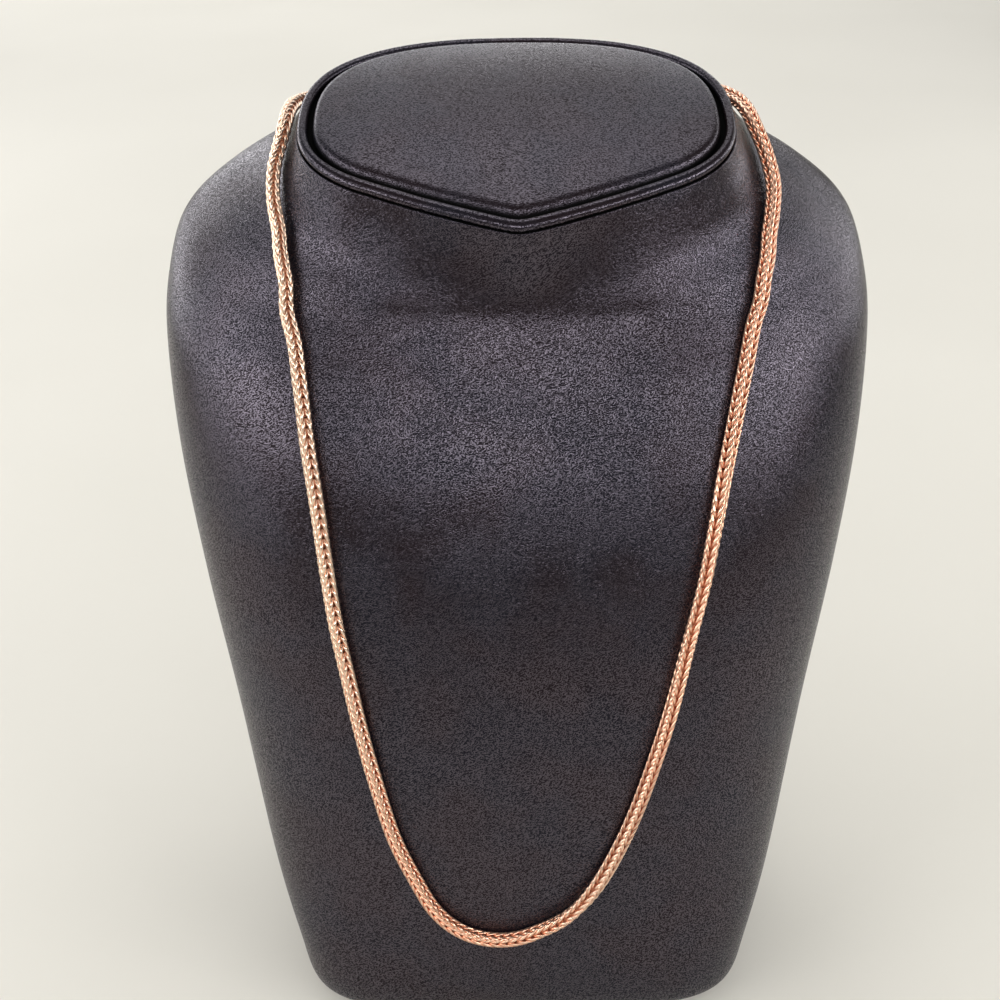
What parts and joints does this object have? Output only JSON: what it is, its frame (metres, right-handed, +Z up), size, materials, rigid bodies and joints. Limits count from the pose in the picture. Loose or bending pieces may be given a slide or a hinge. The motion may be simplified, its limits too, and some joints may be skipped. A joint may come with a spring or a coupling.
{
  "type": "link chain necklace on neck bust",
  "caption": "Square woven link chain necklace in rose gold, laid in a long loop round a black leatherette neck bust that stands on its flat base.",
  "frame": {"origin": "middle of the bounding box on the ground the bust stands on", "axes": "+Z up, the bust's front to -Y, +X to the viewer's right"},
  "size_m": [0.184, 0.1222, 0.2407],
  "materials": {
    "leather": "pebbled black leatherette with a soft sheen",
    "leather_lip": "stretched black leatherette over a rolled edge",
    "rose_gold": "polished rose gold plate"
  },
  "bodies": {
    "root": {"bust_body": "leather", "neck_rim": "leather_lip", "neck_pad": "leather", "chain": "rose_gold", "clasp": "rose_gold"}
  },
  "joints": []
}
